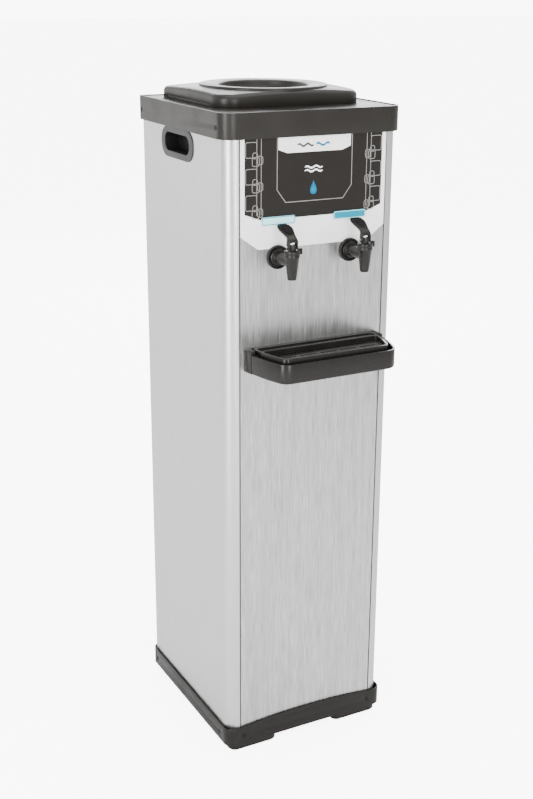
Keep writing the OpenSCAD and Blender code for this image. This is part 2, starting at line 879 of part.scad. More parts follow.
// ---------- cooling circuit ----------
module compressor() {
  color([0.1, 0.1, 0.1]) local() {
    translate([0, 178, 0]) {
      cyl_z(0, 0, 80, 148, comp_r);
      intersection() {
        translate([0, 0, 118]) sphere(r = 70);
        cyl_z(0, 0, 147, 200, comp_r);
      }
      intersection() {
        translate([0, 0, 110]) sphere(r = 70);
        cyl_z(0, 0, 30, 81, comp_r);
      }
    }
    difference() {
      slab(-90, 110, 90, 246, 8, 34, 37);
      for (x = [-78, 78]) {
        for (y = [122, 234]) {
          cyl_z(x, y, 30, 40, 7.2);
        }
      }
    }
    box(-40, 40, 150, 206, 36, 60);
    cyl_y(-30, 130, 95, 178, 4);
    cyl_y(30, 130, 95, 178, 3);
    cyl_z(-30, 95, 126, 480, 4);
    cyl_z(30, 95, 127, 330, 3);
  }
}

module compressor_grommets() {
  color([0.08, 0.08, 0.08]) local() {
    for (x = [-78, 78]) {
      for (y = [122, 234]) {
        cyl_z(x, y, panel_z0, 34, 11);
        cyl_z(x, y, 34, 37, 7);
        cyl_z(x, y, 37, 42, 10);
      }
    }
  }
}

module relay_box() {
  color([0.15, 0.15, 0.16]) local() difference() {
    box(55, 96, 150, 206, 78, 130);
    cyl_z(0, 178, 60, 160, comp_r + 0.2);
  }
}

module condenser() {
  n = 8;
  p = 36;
  z0 = 400;
  color([0.1, 0.1, 0.1]) local() translate([0, 262, 0]) {
    for (i = [0 : n - 1]) {
      cyl_x(0, z0 + i * p, -80, 80, 2.5);
    }
    for (i = [0 : n - 2]) {
      s = (i % 2 == 0) ? 1 : -1;
      translate([s * 80, 0, z0 + i * p + p / 2]) rotate([90, 0, 0]) intersection() {
        ring_tube(p / 2, 2.5);
        translate([s > 0 ? 0 : -40, -40, -5]) cube([40, 80, 10]);
      }
    }
    for (x = [-70 : 20 : 70]) {
      cyl_z(x, 3.2, z0 - 15, z0 + (n - 1) * p + 15, 1);
    }
    // brackets to the rear flanges
    for (s = [-1, 1]) {
      for (z = [z0, z0 + (n - 1) * p]) {
        box(min(s * 66, s * 126), max(s * 66, s * 126), 2.6, 4.2, z - 5, z + 5);
        box(min(s * 120, s * 126), max(s * 120, s * 126), 2.6, 16.9, z - 5, z + 5);
      }
    }
  }
}

module filter_drier() {
  color([0.72, 0.45, 0.25]) local() {
    cyl_z(-60, 240, 250, 330, 9);
    translate([-60, 240, 330]) cylinder(h = 12, r1 = 9, r2 = 3);
    translate([-60, 240, 238]) cylinder(h = 12, r1 = 3, r2 = 9);
    cyl_z(-60, 240, 342, 400, 3);
    cyl_z(-60, 240, 200, 238, 3);
    cyl_y(-60, 400, 240, 259.4, 3);
  }
}

module thermostat() {
  color([0.85, 0.85, 0.85]) local() difference() {
    union() {
      box(65, 105, 254, cab_depth, thermo_z - 18, thermo_z + 18);
      cyl_y(85, thermo_z, cab_depth, rear_y + 0.2, 4.1);
    }
    cyl_y(85, thermo_z, 262, rear_y + 1, 3.05);
  }
}

module thermostat_knob() {
  color([0.13, 0.13, 0.13]) local() {
    cyl_y(85, thermo_z, 263, rear_y + 1, 3);
    difference() {
      union() {
        cyl_y(85, thermo_z, rear_y + 0.8, rear_y + 4, 14);
        cyl_y(85, thermo_z, rear_y + 4, rear_y + 10.5, 10);
      }
      box(84.2, 85.8, rear_y + 9.7, rear_y + 11, thermo_z + 1, thermo_z + 12);
    }
  }
}

module cable_gland() {
  color([0.1, 0.1, 0.1]) local() difference() {
    union() {
      cyl_y(-75, 75, rear_y, rear_y + 8, 10);
      cyl_y(-75, 75, 268, rear_y, 7);
      cyl_y(-75, 75, 268, 279.8, 9.5);
    }
    cyl_y(-75, 75, 267, rear_y + 9, 3.6);
  }
}

base();
foot_pads();
left_side_panel();
right_side_panel();
front_panel();
rear_panel();
top_cover();
bottle_seat();
neck_guide();
neck_seal();
left_handle_cup();
right_handle_cup();
fascia_film();
fascia_panel();
natural_label();
cold_label();
tap_body_natural();
tap_body_cold();
tap_bonnet_natural();
tap_bonnet_cold();
tap_lever_natural();
tap_lever_cold();
lever_pin_natural();
lever_pin_cold();
tap_plunger_natural();
tap_plunger_cold();
tap_spring_natural();
tap_spring_cold();
tap_nut_natural();
tap_nut_cold();
tray_holder();
drip_tray();
drip_grille();
cold_reservoir();
reservoir_baffle();
insulation_front();
insulation_rear();
evaporator_coil();
reservoir_shelf();
natural_hose();
cold_hose();
drain_hose();
drain_fitting();
drain_cap();
compressor();
relay_box();
compressor_grommets();
condenser();
filter_drier();
thermostat();
thermostat_knob();
cable_gland();
cover_screws();
base_screws();
rear_screws();
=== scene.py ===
"""Column water dispenser: finishes, printed front, taps, tray and bottle seat on its CAD frame."""

import json
import math
from contextlib import contextmanager

import bmesh
import bpy
from bpy.props import FloatProperty, FloatVectorProperty, IntProperty, PointerProperty
from mathutils import Matrix, Vector

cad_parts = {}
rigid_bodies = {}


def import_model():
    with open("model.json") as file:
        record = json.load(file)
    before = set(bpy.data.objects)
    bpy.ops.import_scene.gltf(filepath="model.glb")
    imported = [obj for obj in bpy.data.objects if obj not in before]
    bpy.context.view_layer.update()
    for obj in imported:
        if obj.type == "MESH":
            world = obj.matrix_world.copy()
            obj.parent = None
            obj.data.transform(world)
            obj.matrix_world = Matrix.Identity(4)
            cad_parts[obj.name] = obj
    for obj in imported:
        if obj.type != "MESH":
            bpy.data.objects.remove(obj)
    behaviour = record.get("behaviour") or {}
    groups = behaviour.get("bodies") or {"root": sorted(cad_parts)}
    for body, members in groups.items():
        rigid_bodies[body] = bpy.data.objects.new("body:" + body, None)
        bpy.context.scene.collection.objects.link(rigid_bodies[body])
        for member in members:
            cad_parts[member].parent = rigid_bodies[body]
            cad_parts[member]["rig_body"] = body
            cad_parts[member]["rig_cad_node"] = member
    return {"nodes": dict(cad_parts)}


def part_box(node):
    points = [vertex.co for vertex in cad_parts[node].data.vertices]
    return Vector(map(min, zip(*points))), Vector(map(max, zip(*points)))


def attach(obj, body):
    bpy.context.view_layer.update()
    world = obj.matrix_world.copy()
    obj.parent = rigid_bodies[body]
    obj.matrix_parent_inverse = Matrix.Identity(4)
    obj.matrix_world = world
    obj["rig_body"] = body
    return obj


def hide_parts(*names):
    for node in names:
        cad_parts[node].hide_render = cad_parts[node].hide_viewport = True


bl_info = {
    "name": "Column Water Dispenser",
    "version": (1, 0, 0),
    "blender": (4, 5, 0),
    "location": "View3D > Sidebar > Dispenser",
    "description": "Builds the finished look of a column water dispenser on its CAD frame",
    "category": "Object",
}

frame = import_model()
BOX = {name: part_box(name) for name in frame["nodes"]}
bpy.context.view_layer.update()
MM = 0.001
FRONT = BOX["front_panel"][0].y

# millimetres, shared by several pieces
RING_Y = 153
TAP_X = 57
DECK_SINK = 1.2


def at(x, y, z):
    """A point given in millimetres, with y counted backwards from the front panel's face."""
    return Vector((x * MM, FRONT + y * MM, z * MM))


# ---------- bench tools ----------
def deselect():
    if bpy.context.object and bpy.context.object.mode != "OBJECT":
        bpy.ops.object.mode_set(mode="OBJECT")
    bpy.ops.object.select_all(action="DESELECT")


def focus(piece):
    deselect()
    piece.select_set(True)
    bpy.context.view_layer.objects.active = piece


def settle(name):
    """Name the fresh primitive and move its place into its mesh."""
    piece = bpy.context.object
    piece.name = name
    piece.data.name = name
    focus(piece)
    bpy.ops.object.transform_apply(location=True, rotation=True, scale=True)
    return piece


def new_block(name, low, high):
    low, high = Vector(low), Vector(high)
    deselect()
    bpy.ops.mesh.primitive_cube_add(size=1, location=(low + high) / 2)
    bpy.context.object.scale = high - low
    return settle(name)


def new_rod(name, start, end, radius, tip=None, sides=64):
    start, end = Vector(start), Vector(end)
    along = end - start
    deselect()
    bpy.ops.mesh.primitive_cone_add(
        vertices=sides, radius1=radius, radius2=radius if tip is None else tip,
        depth=along.length, location=(start + end) / 2,
        rotation=along.to_track_quat("Z", "Y").to_euler())
    return settle(name)


@contextmanager
def shaping(piece):
    """Edit mode on one piece, with nothing selected at the start."""
    focus(piece)
    bpy.ops.object.mode_set(mode="EDIT")
    bpy.ops.mesh.select_all(action="DESELECT")
    yield piece
    bpy.ops.object.mode_set(mode="OBJECT")


def pick_faces(test):
    bpy.ops.mesh.select_mode(type="FACE")
    bpy.ops.mesh.select_all(action="DESELECT")
    data = bpy.context.object.data
    mesh = bmesh.from_edit_mesh(data)
    for face in mesh.faces:
        if test(face.calc_center_median(), face.normal):
            face.select_set(True)
    bmesh.update_edit_mesh(data)


def pick_edges(test):
    bpy.ops.mesh.select_mode(type="EDGE")
    bpy.ops.mesh.select_all(action="DESELECT")
    data = bpy.context.object.data
    mesh = bmesh.from_edit_mesh(data)
    for edge in mesh.edges:
        if test(edge.verts[0].co, edge.verts[1].co):
            edge.select_set(True)
    bmesh.update_edit_mesh(data)


def upright(a, b):
    return abs(a.x - b.x) < 1e-5 and abs(a.y - b.y) < 1e-5


def crosswise(a, b):
    return abs(a.y - b.y) < 1e-5 and abs(a.z - b.z) < 1e-5


def bevel_picked(width, segments):
    bpy.ops.mesh.bevel(offset=width, offset_type="OFFSET", segments=segments,
                       affect="EDGES", clamp_overlap=False)


def push_picked(x=0.0, y=0.0, z=0.0):
    bpy.ops.mesh.extrude_region_move(TRANSFORM_OT_translate={"value": (x, y, z)})


def turn_picked(degrees, centre):
    """Turn what is picked about X. Without a window the operator turns the other way."""
    bpy.ops.transform.rotate(value=-math.radians(degrees), orient_axis="X",
                             orient_type="GLOBAL", center_override=centre)


def apply_modifier(piece, kind, **settings):
    modifier = piece.modifiers.new(kind.title(), kind)
    for key, value in settings.items():
        setattr(modifier, key, value)
    focus(piece)
    bpy.ops.object.modifier_apply(modifier=modifier.name)


def carve(piece, tool, operation="DIFFERENCE"):
    apply_modifier(piece, "BOOLEAN", operation=operation, object=tool, solver="EXACT")
    bpy.data.objects.remove(tool)


def round_off(piece, width, segments=3, angle=35):
    apply_modifier(piece, "BEVEL", width=width, segments=segments,
                   limit_method="ANGLE", angle_limit=math.radians(angle))


def turned(name, outline, centre, along, steps=72):
    """A closed section of (radius, height) pairs in millimetres, spun round an axis."""
    along = Vector(along)
    side = Vector((1, 0, 0))
    deselect()
    bpy.ops.mesh.primitive_circle_add(vertices=len(outline), radius=0.01, fill_type="NOTHING")
    piece = settle(name)
    for vertex, (radius, height) in zip(piece.data.vertices, outline):
        vertex.co = Vector(centre) + side * radius * MM + along * height * MM
    with shaping(piece):
        bpy.ops.mesh.select_all(action="SELECT")
        bpy.ops.mesh.spin(steps=steps, angle=math.tau, center=centre, axis=along)
        bpy.ops.mesh.select_all(action="SELECT")
        bpy.ops.mesh.remove_doubles(threshold=1e-6)
        bpy.ops.mesh.delete_loose()
        bpy.ops.mesh.select_all(action="SELECT")
        bpy.ops.mesh.normals_make_consistent(inside=False)
    return piece


def sheet_of(name, outline, y, thickness):
    """A thin printed shape on a plane facing the front, from (x, z) pairs in millimetres."""
    deselect()
    bpy.ops.mesh.primitive_circle_add(vertices=len(outline), radius=0.01, fill_type="NGON")
    piece = settle(name)
    for vertex, (x, z) in zip(piece.data.vertices, outline):
        vertex.co = at(x, y, z)
    with shaping(piece):
        bpy.ops.mesh.select_all(action="SELECT")
        push_picked(y=-thickness * MM)
        bpy.ops.mesh.select_all(action="SELECT")
        bpy.ops.mesh.normals_make_consistent(inside=False)
    return piece


def line_of(name, outline, y, thickness, width):
    """The outline alone, as a printed line of the given width."""
    piece = sheet_of(name, outline, y, thickness)
    with shaping(piece):
        pick_faces(lambda c, n: abs(n.y) > 0.9)
        bpy.ops.mesh.inset(thickness=width * MM, depth=0)
    mesh = piece.data
    kept = bmesh.new()
    kept.from_mesh(mesh)
    inner = [f for f in kept.faces if abs(f.normal.y) > 0.9 and len(f.verts) == len(outline)]
    bmesh.ops.delete(kept, geom=inner, context="FACES_ONLY")
    loose = [e for e in kept.edges if e.is_boundary]
    bmesh.ops.bridge_loops(kept, edges=loose)
    bmesh.ops.recalc_face_normals(kept, faces=kept.faces)
    kept.to_mesh(mesh)
    kept.free()
    return piece


def joined(name, pieces):
    """Several meshes made into one piece."""
    focus(pieces[0])
    for piece in pieces[1:]:
        piece.select_set(True)
    bpy.ops.object.join()
    pieces[0].name = name
    pieces[0].data.name = name
    return pieces[0]


def softened(name, node, width, segments=3, angle=35):
    """A CAD node's own shape with its doubled corners merged and its edges rounded."""
    focus(frame["nodes"][node])
    bpy.ops.object.duplicate()
    piece = bpy.context.object
    piece.name = name
    piece.data.name = name
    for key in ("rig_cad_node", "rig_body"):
        if key in piece:
            del piece[key]
    piece.parent = None
    with shaping(piece):
        bpy.ops.mesh.select_all(action="SELECT")
        bpy.ops.mesh.remove_doubles(threshold=2e-6)
        bpy.ops.mesh.customdata_custom_splitnormals_clear()
        bpy.ops.mesh.select_all(action="SELECT")
        bpy.ops.mesh.dissolve_limited(angle_limit=math.radians(0.4))
    round_off(piece, width, segments, angle)
    return piece


def hand_over(piece, body, finish, replaces=(), angle=32):
    """Give a piece its finish and its body, and hide the CAD nodes that it stands for."""
    focus(piece)
    bpy.ops.object.shade_smooth_by_angle(angle=math.radians(angle))
    piece.data.materials.clear()
    piece.data.materials.append(FINISHES[finish])
    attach(piece, body)
    if replaces:
        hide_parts(*replaces)
    deselect()


# ---------- finishes ----------
FINISHES = {}


class Finish:
    """A node material built from a colour, a grain and a bump."""

    def __init__(self, name, roughness=0.4, metallic=0.0, **sockets):
        self.material = bpy.data.materials.new(name)
        self.material.use_nodes = True
        self.tree = self.material.node_tree
        self.shader = self.tree.nodes["Principled BSDF"]
        self.shader.inputs["Metallic"].default_value = metallic
        self.shader.inputs["Roughness"].default_value = roughness
        for socket, value in sockets.items():
            self.shader.inputs[socket.replace("_", " ")].default_value = value
        FINISHES[name] = self.material

    def node(self, kind, **inputs):
        made = self.tree.nodes.new(kind)
        for socket, value in inputs.items():
            made.inputs[socket.replace("_", " ")].default_value = value
        return made

    def noise(self, scale, stretch=(1, 1, 1), detail=2.0, shift=0.0):
        place = self.node("ShaderNodeTexCoord")
        mapping = self.node("ShaderNodeMapping", Scale=stretch, Location=(shift, shift, shift))
        noise = self.node("ShaderNodeTexNoise", Scale=scale, Detail=detail)
        self.tree.links.new(place.outputs["Object"], mapping.inputs["Vector"])
        self.tree.links.new(mapping.outputs["Vector"], noise.inputs["Vector"])
        return noise.outputs["Fac"]

    def cells(self, scale, feature="F1"):
        place = self.node("ShaderNodeTexCoord")
        cells = self.node("ShaderNodeTexVoronoi", Scale=scale)
        cells.feature = feature
        self.tree.links.new(place.outputs["Object"], cells.inputs["Vector"])
        return cells.outputs["Distance"] if feature != "F1" else cells.outputs["Color"]

    def spread(self, source, low, high, start=0.35, stop=0.65):
        ramp = self.node("ShaderNodeMapRange")
        for index, value in ((1, start), (2, stop), (3, low), (4, high)):
            ramp.inputs[index].default_value = value
        self.tree.links.new(source, ramp.inputs[0])
        return ramp.outputs[0]

    def blend(self, source, first, second):
        mix = self.tree.nodes.new("ShaderNodeMix")
        mix.data_type = "RGBA"
        for socket in mix.inputs:
            if socket.type == "RGBA" and socket.name == "A":
                socket.default_value = (*first, 1)
            if socket.type == "RGBA" and socket.name == "B":
                socket.default_value = (*second, 1)
        self.tree.links.new(source, mix.inputs[0])
        return [s for s in mix.outputs if s.type == "RGBA"][0]

    def multiply(self, first, second):
        mix = self.tree.nodes.new("ShaderNodeMix")
        mix.data_type = "RGBA"
        mix.blend_type = "MULTIPLY"
        mix.inputs[0].default_value = 1.0
        colours = [s for s in mix.inputs if s.type == "RGBA"]
        self.tree.links.new(first, colours[0])
        self.tree.links.new(second, colours[1])
        return [s for s in mix.outputs if s.type == "RGBA"][0]

    def colour(self, source):
        self.tree.links.new(source, self.shader.inputs["Base Color"])

    def rough(self, source):
        self.tree.links.new(source, self.shader.inputs["Roughness"])

    def bump(self, height, strength, distance):
        bump = self.node("ShaderNodeBump", Strength=strength, Distance=distance)
        self.tree.links.new(height, bump.inputs["Height"])
        self.tree.links.new(bump.outputs["Normal"], self.shader.inputs["Normal"])


def shade(colour, factor):
    return tuple(min(1.0, max(0.0, c * factor)) for c in colour)


def brushed_steel(name, colour, contrast, cloudiness, roughness):
    """Sheet steel with upright hairlines gathered in soft streaks."""
    steel = Finish(name, roughness=roughness, metallic=1.0)
    hair = steel.noise(760, stretch=(1, 1, 0.035), detail=3.0)
    streak = steel.noise(150, stretch=(1, 1, 0.04), detail=2.0, shift=3.1)
    fine = steel.blend(steel.spread(hair, 0, 1), shade(colour, 1 - contrast),
                       shade(colour, 1 + contrast))
    broad = steel.blend(steel.spread(streak, 0, 1), (1 - cloudiness,) * 3, (1.0, 1.0, 1.0))
    steel.colour(steel.multiply(fine, broad))
    steel.rough(steel.spread(hair, roughness - 0.05, roughness + 0.09))
    steel.bump(hair, 0.12, 0.0002)


def moulded(name, colour, roughness, grain=2600, depth=0.12, **sockets):
    """Injection-moulded plastic: fine spark-eroded grain and slightly uneven gloss."""
    plastic = Finish(name, roughness=roughness, **sockets)
    cloud = plastic.noise(22, detail=3.0)
    fine = plastic.noise(grain, detail=1.0)
    plastic.colour(plastic.blend(cloud, shade(colour, 0.88), shade(colour, 1.1)))
    plastic.rough(plastic.spread(cloud, roughness - 0.04, roughness + 0.06))
    plastic.bump(fine, depth, 0.0001)


def printed(name, colour, roughness=0.3, **sockets):
    """Ink or film on a smooth face, with a faint mottle."""
    ink = Finish(name, roughness=roughness, **sockets)
    mottle = ink.noise(60, detail=2.0)
    ink.colour(ink.blend(mottle, shade(colour, 0.96), shade(colour, 1.03)))
    ink.rough(ink.spread(mottle, roughness - 0.02, roughness + 0.03))


def coated_metal(name, colour, roughness, metallic=0.0, scale=700, **sockets):
    """Painted or plated metal with the ripple of its coating."""
    coat = Finish(name, roughness=roughness, metallic=metallic, **sockets)
    cloud = coat.noise(35, detail=3.0)
    coat.colour(coat.blend(cloud, shade(colour, 0.86), shade(colour, 1.12)))
    coat.rough(coat.spread(cloud, roughness - 0.05, roughness + 0.08))
    coat.bump(coat.noise(scale, detail=2.0), 0.15, 0.0002)


def zinc_sheet(name, colour):
    """Galvanised sheet with its crystal spangle."""
    zinc = Finish(name, roughness=0.45, metallic=0.8)
    spangle = zinc.cells(150)
    zinc.colour(zinc.blend(spangle, shade(colour, 0.75), shade(colour, 1.15)))
    zinc.rough(zinc.spread(spangle, 0.35, 0.55, 0.0, 1.0))
    zinc.bump(zinc.noise(400), 0.08, 0.0002)


def bead_foam(name, colour):
    """Expanded foam with pressed beads."""
    foam = Finish(name, roughness=0.9)
    edge = foam.cells(260, "DISTANCE_TO_EDGE")
    foam.colour(foam.blend(foam.spread(edge, 0, 1, 0.0, 0.12), shade(colour, 0.8), colour))
    foam.rough(foam.spread(foam.noise(80), 0.85, 0.95))
    foam.bump(edge, 0.5, 0.0006)


def make_finishes(look):
    brushed_steel("front_steel", look.front_steel, 0.2, 0.13, 0.33)
    brushed_steel("side_steel", look.side_steel, 0.02, 0.03, 0.34)
    brushed_steel("pot_steel", (0.6, 0.6, 0.59), 0.08, 0.05, 0.3)
    moulded("warm_grey_plastic", look.plastic, 0.34, Specular_IOR_Level=0.3)
    moulded("base_plastic", shade(look.plastic, 0.68), 0.4, Specular_IOR_Level=0.22)
    moulded("tap_plastic", look.tap_plastic, 0.28, grain=3200, Specular_IOR_Level=0.26)
    moulded("tray_plastic", look.tray_plastic, 0.24, depth=0.06, Specular_IOR_Level=0.26)
    moulded("grip_plastic", look.grip, 0.42, Specular_IOR_Level=0.3)
    # painted shade: the grip's own colour at a quarter of its tone, duller, on the recess inside
    # each grip
    moulded("grip_recess_shade", shade(look.grip, 0.25), 0.6, Specular_IOR_Level=0.15)
    moulded("white_plastic", (0.78, 0.78, 0.74), 0.4)
    moulded("black_plastic", (0.02, 0.02, 0.02), 0.4)
    # real rubber on the feet and grommets; on the front seam strips this near-black finish is
    # painted shade
    moulded("rubber", (0.025, 0.025, 0.025), 0.75, grain=1500, depth=0.3)
    moulded("hose_silicone", (0.72, 0.75, 0.76), 0.3, depth=0.03, Subsurface_Weight=0.2)
    printed("film_white", look.film, 0.2)
    printed("panel_ink", look.panel, 0.3, Specular_IOR_Level=0.22)
    printed("line_ink", (0.27, 0.26, 0.25), 0.35)
    printed("plate_ink", (0.98, 0.975, 0.96), 0.3)
    printed("mark_white", (0.98, 0.98, 0.975), 0.35)
    printed("mark_dark", (0.03, 0.033, 0.035), 0.35)
    printed("drop_ink", (0.0, 0.14, 0.27), 0.4, Specular_IOR_Level=0.1)
    printed("drop_light", (0.0, 0.19, 0.34), 0.4, Specular_IOR_Level=0.1)
    printed("label_pale", look.label_pale, 0.4, Specular_IOR_Level=0.2)
    printed("label_cyan", look.label_cyan, 0.4, Specular_IOR_Level=0.1)
    coated_metal("rear_paint", (0.035, 0.036, 0.038), 0.5)
    coated_metal("compressor_paint", (0.02, 0.02, 0.021), 0.35, scale=300)
    coated_metal("copper", (0.6, 0.27, 0.14), 0.32, metallic=1.0)
    coated_metal("screw_zinc", (0.5, 0.5, 0.48), 0.35, metallic=1.0)
    coated_metal("screw_black", (0.004, 0.004, 0.004), 0.6, Specular_IOR_Level=0.2)
    zinc_sheet("galvanised", (0.55, 0.56, 0.57))
    bead_foam("foam", (0.85, 0.85, 0.84))


# which finish each CAD node wears where its own shape is kept
NODE_FINISH = {
    "front_panel": "front_steel", "left_side_panel": "side_steel",
    "right_side_panel": "side_steel", "rear_panel": "rear_paint",
    "base": "base_plastic", "foot_pads": "rubber", "top_cover": "warm_grey_plastic",
    "bottle_seat": "warm_grey_plastic", "neck_guide": "warm_grey_plastic",
    "neck_seal": "hose_silicone",
    "left_handle_cup": "grip_plastic", "right_handle_cup": "grip_plastic",
    "fascia_film": "film_white", "fascia_panel": "panel_ink",
    "natural_label": "label_pale", "cold_label": "label_cyan",
    "tray_holder": "tray_plastic", "drip_tray": "tray_plastic", "drip_grille": "tray_plastic",
    "cold_reservoir": "pot_steel", "reservoir_baffle": "white_plastic",
    "insulation_front": "foam", "insulation_rear": "foam", "evaporator_coil": "copper",
    "reservoir_shelf": "galvanised", "natural_hose": "hose_silicone",
    "cold_hose": "hose_silicone", "drain_hose": "hose_silicone",
    "drain_fitting": "white_plastic", "drain_cap": "black_plastic",
    "compressor": "compressor_paint", "relay_box": "black_plastic",
    "compressor_grommets": "rubber", "condenser": "compressor_paint",
    "filter_drier": "copper", "thermostat": "white_plastic",
    "thermostat_knob": "black_plastic", "cable_gland": "black_plastic",
    "cover_screws": "screw_black", "base_screws": "screw_black",
    "rear_screws": "screw_zinc",
}
for side in ("natural", "cold"):
    for part, finish in (("body", "tap_plastic"), ("bonnet", "tap_plastic"),
                         ("lever", "tap_plastic"), ("plunger", "black_plastic"),
                         ("spring", "screw_zinc"), ("nut", "white_plastic")):
        NODE_FINISH[f"tap_{part}_{side}"] = finish
    NODE_FINISH[f"lever_pin_{side}"] = "screw_zinc"


# ---------- settings ----------
def colour_setting(name, description, default):
    return FloatVectorProperty(name=name, description=description, default=default,
                               subtype="COLOR", size=3, min=0, max=1)


def length_setting(name, description, default):
    return FloatProperty(name=name, description=description, default=default,
                         unit="LENGTH", min=0)


class DispenserLook(bpy.types.PropertyGroup):
    """Colours of the visible finishes."""

    front_steel: colour_setting("Front steel", "Tone of the brushed front", (0.52, 0.52, 0.517))
    side_steel: colour_setting("Side steel", "Tone of the side sheets", (0.57, 0.57, 0.57))
    plastic: colour_setting("Plastic", "Cover, seat and base", (0.0115, 0.0098, 0.008))
    tap_plastic: colour_setting("Tap plastic", "Taps and levers", (0.009, 0.008, 0.007))
    tray_plastic: colour_setting("Tray plastic", "Holder, tray and grille", (0.0095, 0.0082, 0.007))
    grip: colour_setting("Grip", "Recessed side grips", (0.027, 0.027, 0.028))
    film: colour_setting("Film", "Light film round the panel", (0.985, 0.985, 0.98))
    panel: colour_setting("Panel", "Dark printed panel", (0.0115, 0.0098, 0.0082))
    label_pale: colour_setting("Pale label", "Label of the left tap", (0.45, 0.94, 0.96))
    label_cyan: colour_setting("Cyan label", "Label of the right tap", (0.0, 0.24, 0.35))


class DispenserSizes(bpy.types.PropertyGroup):
    """Sizes that the finished look adds to the CAD shapes."""

    rim_round: length_setting("Rim rounding", "Rounding of the cover's edges", 0.0012)
    seat_round: length_setting("Seat rounding", "Rounding of the seat's edges", 0.007)
    tray_corner: length_setting("Tray corner", "Rounding of the tray's front corners", 0.018)
    line_width: length_setting("Line width", "Width of the printed lines", 0.0009)
    print_height: length_setting("Print height", "Thickness of the printed marks", 0.00006)
    turn_steps: IntProperty(name="Turned steps", description="Steps round a turned piece",
                            default=96, min=24, max=256)


def look():
    return bpy.context.scene.dispenser_look


def sizes():
    return bpy.context.scene.dispenser_sizes


# ---------- pieces ----------
class DISPENSER_OT_finishes(bpy.types.Operator):
    """Make the finishes and put them on the CAD nodes."""

    bl_idname = "dispenser.finishes"
    bl_label = "Finishes"

    def execute(self, context):
        make_finishes(look())
        for name, node in frame["nodes"].items():
            node.data.materials.clear()
            node.data.materials.append(FINISHES[NODE_FINISH[name]])
        return {"FINISHED"}


class DISPENSER_OT_cover(bpy.types.Operator):
    """Cover band with a raised rim, a sunk deck and the opening for the bottle seat."""

    bl_idname = "dispenser.cover"
    bl_label = "Top cover"

    def execute(self, context):
        low, high = BOX["top_cover"]
        cover = new_block("cover_shell", low, high)
        with shaping(cover):
            pick_edges(lambda a, b: upright(a, b) and a.y < 0)
            bevel_picked(0.021, 14)
            pick_edges(lambda a, b: upright(a, b) and a.y > high.y - 1e-4)
            bevel_picked(0.006, 6)
            pick_faces(lambda c, n: n.z > 0.9)
            bpy.ops.mesh.inset(thickness=0.003, depth=0)
            push_picked(z=-DECK_SINK * MM)
            pick_faces(lambda c, n: n.z < -0.9)
            bpy.ops.mesh.inset(thickness=0.0023, depth=0)
            push_picked(z=high.z - 0.0075 - low.z)
        carve(cover, new_rod("opening", at(0, RING_Y, 940), at(0, RING_Y, 970), 0.089, sides=96))
        for s in (-1, 1):
            for y in (18, 272):
                seat = at(s * 138.2, y, 940)
                carve(cover, new_rod("sink", seat, seat + Vector((s * 0.003, 0, 0)), 0.0034))
        round_off(cover, sizes().rim_round)
        hand_over(cover, "cabinet", "warm_grey_plastic", ("top_cover",))
        return {"FINISHED"}


class DISPENSER_OT_seat(bpy.types.Operator):
    """Square bottle seat with a coned top, side grooves and a raised ring round its dish."""

    bl_idname = "dispenser.seat"
    bl_label = "Bottle seat"

    def execute(self, context):
        low, high = BOX["bottle_seat"]
        deck = BOX["top_cover"][1].z - DECK_SINK * MM
        centre = at(0, RING_Y, 0)
        body = new_block("seat_body", (low.x, low.y, deck), high)
        with shaping(body):
            pick_edges(lambda a, b: upright(a, b) and a.y < 0)
            bevel_picked(0.03, 16)
            pick_edges(lambda a, b: upright(a, b) and a.y > high.y - 1e-4)
            bevel_picked(0.014, 10)
        cone = turned("cone", [(0, 940), (190, 940), (190, 971), (92, 979.8), (0, 979.8)],
                      centre, (0, 0, 1), steps=128)
        carve(body, cone, "INTERSECT")
        carve(body, new_rod("well", at(0, RING_Y, 940), at(0, RING_Y, 990), 0.0885, sides=128))
        with shaping(body):
            pick_edges(lambda a, b: not upright(a, b) and min(a.z, b.z) > 0.965
                       and min((a - centre).xy.length, (b - centre).xy.length) > 0.093)
            bevel_picked(sizes().seat_round, 6)
        for s in (-1, 1):
            groove = new_block("groove", at(s * 113 - 2, 95, 960.8), at(s * 113 + 2, 242, 963.2))
            carve(body, groove)
        round_off(body, 0.0006, 2)
        hand_over(body, "bottle_seat", "warm_grey_plastic", ("bottle_seat",))
        ring = turned("seat_ring", [
            (88, 958), (92, 958), (92, 980.6), (91.7, 981.6), (91, 982.4), (90, 982.9),
            (88.6, 983), (73, 982.3), (69, 981.9), (66.8, 981.2), (65.4, 980),
            (64.9, 978.4), (64, 975), (61.4, 969.8), (58, 967.6), (31, 953.6),
            (29.8, 952.4), (29.5, 951), (29.5, 915.8), (30.3, 915), (31.7, 915),
            (32.5, 915.8), (32.5, 951), (62, 966), (67, 973), (84.5, 974), (84.5, 951),
            (85.2, 950.4), (86.4, 950.4), (87, 951), (87, 958)],
            centre, (0, 0, 1), steps=sizes().turn_steps)
        hand_over(ring, "bottle_seat", "warm_grey_plastic",
                  ("bottle_seat", "neck_guide"))
        return {"FINISHED"}


